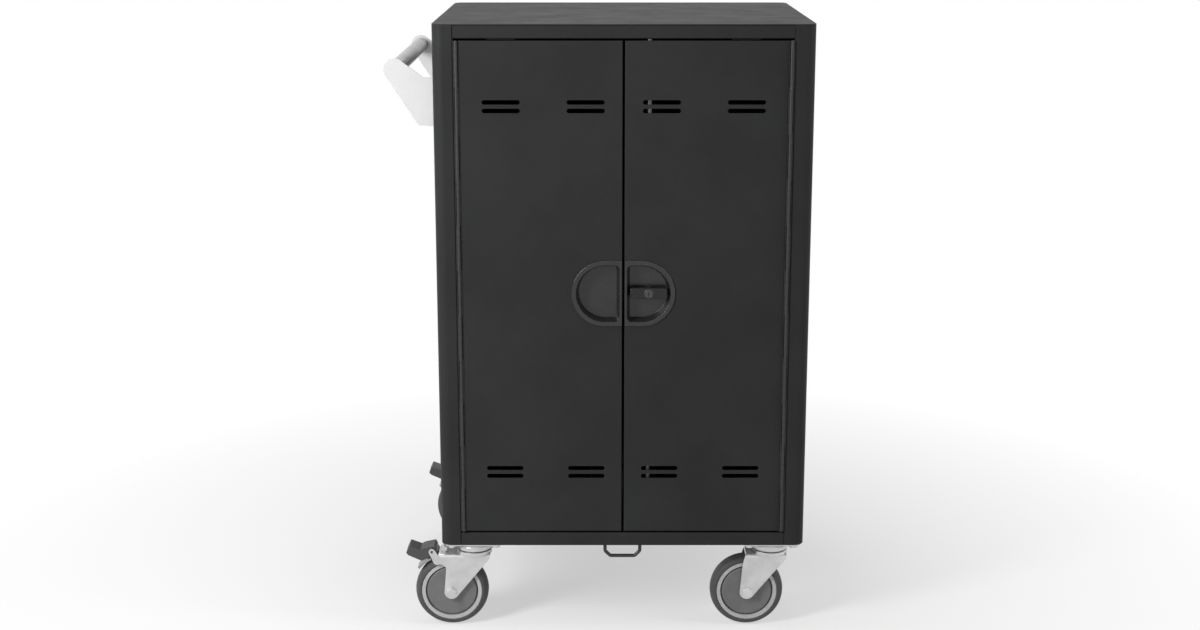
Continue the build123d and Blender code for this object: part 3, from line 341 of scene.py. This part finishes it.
# Every node that this doesn't name is sheet metal in the cabinet's paint
finishes = {
    "top_panel": lid_paint,
    "left_cup": cup_plastic,
    "right_cup": cup_plastic,
    "lever_handle": lever_plastic,
    "power_strips": dull_plastic,
    "power_inlet": dull_plastic,
    "door_catches": dull_plastic,
    "handle_brackets": bracket_paint,
    "handle_tube": tube_paint,
    "security_loop": loop_paint,
    "caster_plates": zinc,
    "caster_bolts": bolt_zinc,
    "bracket_bolts": bolt_zinc,
    "lock_plug": dark_steel,
    "rear_lock_body": steel,
    "rear_lock_plug": steel,
    "pinion": steel,
    "upper_lock_rod": shaded_rod_steel,
    "lower_lock_rod": shaded_rod_steel,
    "latch_case": steel,
    "hinge_pins": steel,
    "middle_shelf": inner_paint,
    "lower_shelf": inner_paint,
    "charger_shelf": inner_paint,
    "slot_dividers": inner_paint,
    "partition_panel": inner_paint,
}
for leaf in ("hinge_frame_leaves", "left_hinge_leaf", "right_hinge_leaf", "rear_hinge_leaf"):
    finishes[leaf] = hinge_finish

for corner in ("front_left", "front_right", "rear_left", "rear_right"):
    low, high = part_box(f"{corner}_tyre")
    axle_x, axle_z = (low.x + high.x) / 2, (low.z + high.z) / 2
    finishes[f"{corner}_wheel_core"] = core_material(corner, axle_x, axle_z)
    finishes[f"{corner}_tyre"] = tyre_material(corner, axle_x, axle_z)
    finishes[f"{corner}_fork"] = zinc
    finishes[f"{corner}_axle"] = bolt_zinc
    finishes[f"{corner}_brake_pedal"] = pedal_finish
    finishes[f"{corner}_brake_shoe"] = shoe_zinc

for name, obj in nodes.items():
    obj.data.materials.clear()
    obj.data.materials.append(finishes.get(name, cabinet_paint))
    for face in obj.data.polygons:
        face.material_index = 0


# Added detail

def link_mesh(name, bm, mat, body):
    """Make a piece from a bmesh, finish it and let it ride on a body."""
    mesh = bpy.data.meshes.new(name)
    bmesh.ops.recalc_face_normals(bm, faces=bm.faces)
    bm.to_mesh(mesh)
    bm.free()
    mesh.materials.append(mat)
    obj = bpy.data.objects.new(name, mesh)
    bpy.context.scene.collection.objects.link(obj)
    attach(obj, body)


def lathe(bm, centre, axis, across, profile, steps=48):
    """Closed ring turned about an axis from (radius, height) points."""
    side = axis.cross(across)
    rings = []
    for i in range(steps):
        angle = 2 * math.pi * i / steps
        out = across * math.cos(angle) + side * math.sin(angle)
        rings.append([bm.verts.new(centre + out * r + axis * h) for r, h in profile])
    count = len(profile)
    for i in range(steps):
        here, there = rings[i], rings[(i + 1) % steps]
        for j in range(count):
            k = (j + 1) % count
            face = bm.faces.new((here[j], here[k], there[k], there[j]))
            face.smooth = True


def key_bezel():
    """Steel ring round the face of the lock plug."""
    low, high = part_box("lock_plug")
    centre = Vector(((low.x + high.x) / 2, low.y, (low.z + high.z) / 2))
    inner = 6.1 * MM
    profile = [
        (inner, 0.0),
        (inner + 1.5 * MM, 0.0),
        (inner + 1.4 * MM, 0.35 * MM),
        (inner + 0.9 * MM, 0.6 * MM),
        (inner + 0.3 * MM, 0.6 * MM),
        (inner, 0.35 * MM),
    ]
    ring = bmesh.new()
    lathe(ring, centre, Vector((0, -1, 0)), Vector((1, 0, 0)), profile)
    link_mesh("key_bezel", ring, dark_steel, "latch_handle")


def stadium(centre_x, centre_z, length, height, steps=10):
    """Points round a lying slot, in X and Z, with so many steps round each end."""
    r = height / 2
    half = length / 2 - r
    points = []
    for end, start in ((1, -90), (-1, 90)):
        for i in range(steps + 1):
            angle = math.radians(start + 180 * i / steps)
            x = centre_x + end * half + r * math.cos(angle)
            points.append((x, centre_z + r * math.sin(angle)))
    return points


def upright_slot(centre_x, centre_z, width, height):
    """Points round an upright slot, or round a hole where it is as high as it is wide."""
    reach = (height - width) / 2
    hole = stadium(centre_x, centre_z, width + 0.01 * MM, width, 6)
    return [(x, z + (reach if z > centre_z else -reach)) for x, z in hole]


def cable_grommets():
    """Rubber edging round the cable slots of the partition."""
    low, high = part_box("partition_panel")
    middle_y = (low.y + high.y) / 2
    curve = bpy.data.curves.new("cable_grommets", "CURVE")
    curve.dimensions = "3D"
    curve.bevel_depth = GROMMET_RADIUS
    curve.bevel_resolution = 3
    for row_z in SLOT_ROWS_Z:
        for i in range(SLOT_COLUMNS):
            x = (i - (SLOT_COLUMNS - 1) / 2) * SLOT_PITCH
            points = stadium(x, row_z, SLOT_LENGTH, SLOT_HEIGHT)
            spline = curve.splines.new("POLY")
            spline.points.add(len(points) - 1)
            for point, (point_x, point_z) in zip(spline.points, points):
                point.co = (point_x, middle_y, point_z, 1)
            spline.use_cyclic_u = True
            spline.use_smooth = True
    curve.materials.append(dull_plastic)
    obj = bpy.data.objects.new("cable_grommets", curve)
    bpy.context.scene.collection.objects.link(obj)
    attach(obj, "cabinet")


def outlet_opening_shade():
    """The three contact openings of every outlet, as dark inserts that stand just proud: painted
    shade in place of the holes.
    """
    _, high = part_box("power_strips")
    front_y = high.y + CONTACT_PROUD
    inserts = bmesh.new()
    for row_z in STRIP_ROWS_Z:
        for i in range(OUTLETS):
            x = (i - (OUTLETS - 1) / 2) * OUTLET_PITCH
            for sideways, upward, width, height in CONTACTS:
                outline = upright_slot(x + sideways, row_z + upward, width, height)
                back, front = (
                    [inserts.verts.new((point_x, y, point_z)) for point_x, point_z in outline]
                    for y in (front_y - CONTACT_DEPTH, front_y)
                )
                for a in range(len(back)):
                    b = (a + 1) % len(back)
                    inserts.faces.new((back[a], back[b], front[b], front[a]))
                inserts.faces.new(front)
                inserts.faces.new(list(reversed(back)))
    link_mesh("outlet_opening_shade", inserts, cup_plastic, "cabinet")


key_bezel()
cable_grommets()
outlet_opening_shade()


# Floor, light and camera

def seen_directly(tree):
    """1 for rays from the camera, off glossy things and through clear ones, and else 0."""
    path = tree.nodes.new("ShaderNodeLightPath")
    total = path.outputs["Is Camera Ray"]
    for other in ("Is Glossy Ray", "Is Transmission Ray"):
        add = tree.nodes.new("ShaderNodeMath")
        add.operation = "ADD"
        add.use_clamp = True
        tree.links.new(total, add.inputs[0])
        tree.links.new(path.outputs[other], add.inputs[1])
        total = add.outputs["Value"]
    return total


def studio_floor(half_width=40.0, fade_from=0.4, fade_to=1.3, least_glow=0.55):
    """Pale floor that fades to white away from the object, and keeps its shadow."""
    plane = bmesh.new()
    bmesh.ops.create_grid(plane, x_segments=8, y_segments=8, size=half_width)
    mesh = bpy.data.meshes.new("floor")
    plane.to_mesh(mesh)
    plane.free()
    obj = bpy.data.objects.new("floor", mesh)
    bpy.context.scene.collection.objects.link(obj)
    mat, tree, bsdf, coord = new_material("floor_finish", rough=0.9, specular=0.1)
    tone = remap(tree, noise(tree, coord, scale=0.8), (0.3, 0.7))
    colour = blend_colours(tree, tone, grey(0.82), grey(0.84))
    tree.links.new(colour, bsdf.inputs["Base Color"])
    glow = tree.nodes.new("ShaderNodeEmission")
    glow.inputs["Strength"].default_value = 1.0
    distance = tree.nodes.new("ShaderNodeVectorMath")
    distance.operation = "LENGTH"
    tree.links.new(coord, distance.inputs[0])
    fade = remap(tree, distance.outputs["Value"], (fade_from, fade_to), (least_glow, 1))
    seen = tree.nodes.new("ShaderNodeMath")
    seen.operation = "MULTIPLY"
    tree.links.new(fade, seen.inputs[0])
    tree.links.new(seen_directly(tree), seen.inputs[1])
    mix = tree.nodes.new("ShaderNodeMixShader")
    tree.links.new(seen.outputs["Value"], mix.inputs["Fac"])
    tree.links.new(bsdf.outputs["BSDF"], mix.inputs[1])
    tree.links.new(glow.outputs["Emission"], mix.inputs[2])
    tree.links.new(mix.outputs["Shader"], tree.nodes["Material Output"].inputs["Surface"])
    mesh.materials.append(mat)


def studio_world(strength):
    """White to the camera, and a soft even light of the given strength on the object."""
    world = bpy.data.worlds.new("studio")
    bpy.context.scene.world = world
    world.use_nodes = True
    tree = world.node_tree
    background = tree.nodes["Background"]
    background.inputs["Color"].default_value = (1, 1, 1, 1)
    level = remap(tree, seen_directly(tree), (0, 1), (strength, 1.0))
    tree.links.new(level, background.inputs["Strength"])


def area_light(name, place, aim, size, power):
    """Rectangular soft light aimed at a point."""
    lamp = bpy.data.lights.new(name, "AREA")
    lamp.shape = "RECTANGLE"
    lamp.size, lamp.size_y = size
    lamp.energy = power
    obj = bpy.data.objects.new(name, lamp)
    bpy.context.scene.collection.objects.link(obj)
    obj.location = place
    obj.rotation_mode = "QUATERNION"
    obj.rotation_quaternion = (Vector(aim) - Vector(place)).to_track_quat("-Z", "Y")


def studio_camera(place, tilt, lens, shift):
    """Camera that looks along +Y, tilted down by an angle in radians."""
    camera = bpy.data.cameras.new("camera")
    camera.sensor_width = 36.0
    camera.lens = lens
    camera.shift_y = shift
    camera.clip_end = 120.0
    view = bpy.data.objects.new("camera", camera)
    bpy.context.scene.collection.objects.link(view)
    view.location = place
    view.rotation_euler = (math.pi / 2 - tilt, 0, 0)
    bpy.context.scene.camera = view


studio_floor()
studio_world(strength=0.15)
area_light("key", place=(-1.55, -1.45, 1.45), aim=(-0.3, -0.2, 0.7), size=(0.5, 1.1), power=42)
area_light("top", place=(-0.2, 0.1, 3.2), aim=(0, 0, 0.9), size=(2.2, 1.6), power=30)
area_light("side", place=(2.1, -0.75, 1.6), aim=(0.3, -0.1, 0.7), size=(0.35, 1.6), power=18)
studio_camera(place=(-0.0387, -3.083, 1.278), tilt=0.2216, lens=52.52, shift=-0.036)
bpy.context.scene.view_settings.view_transform = "Standard"
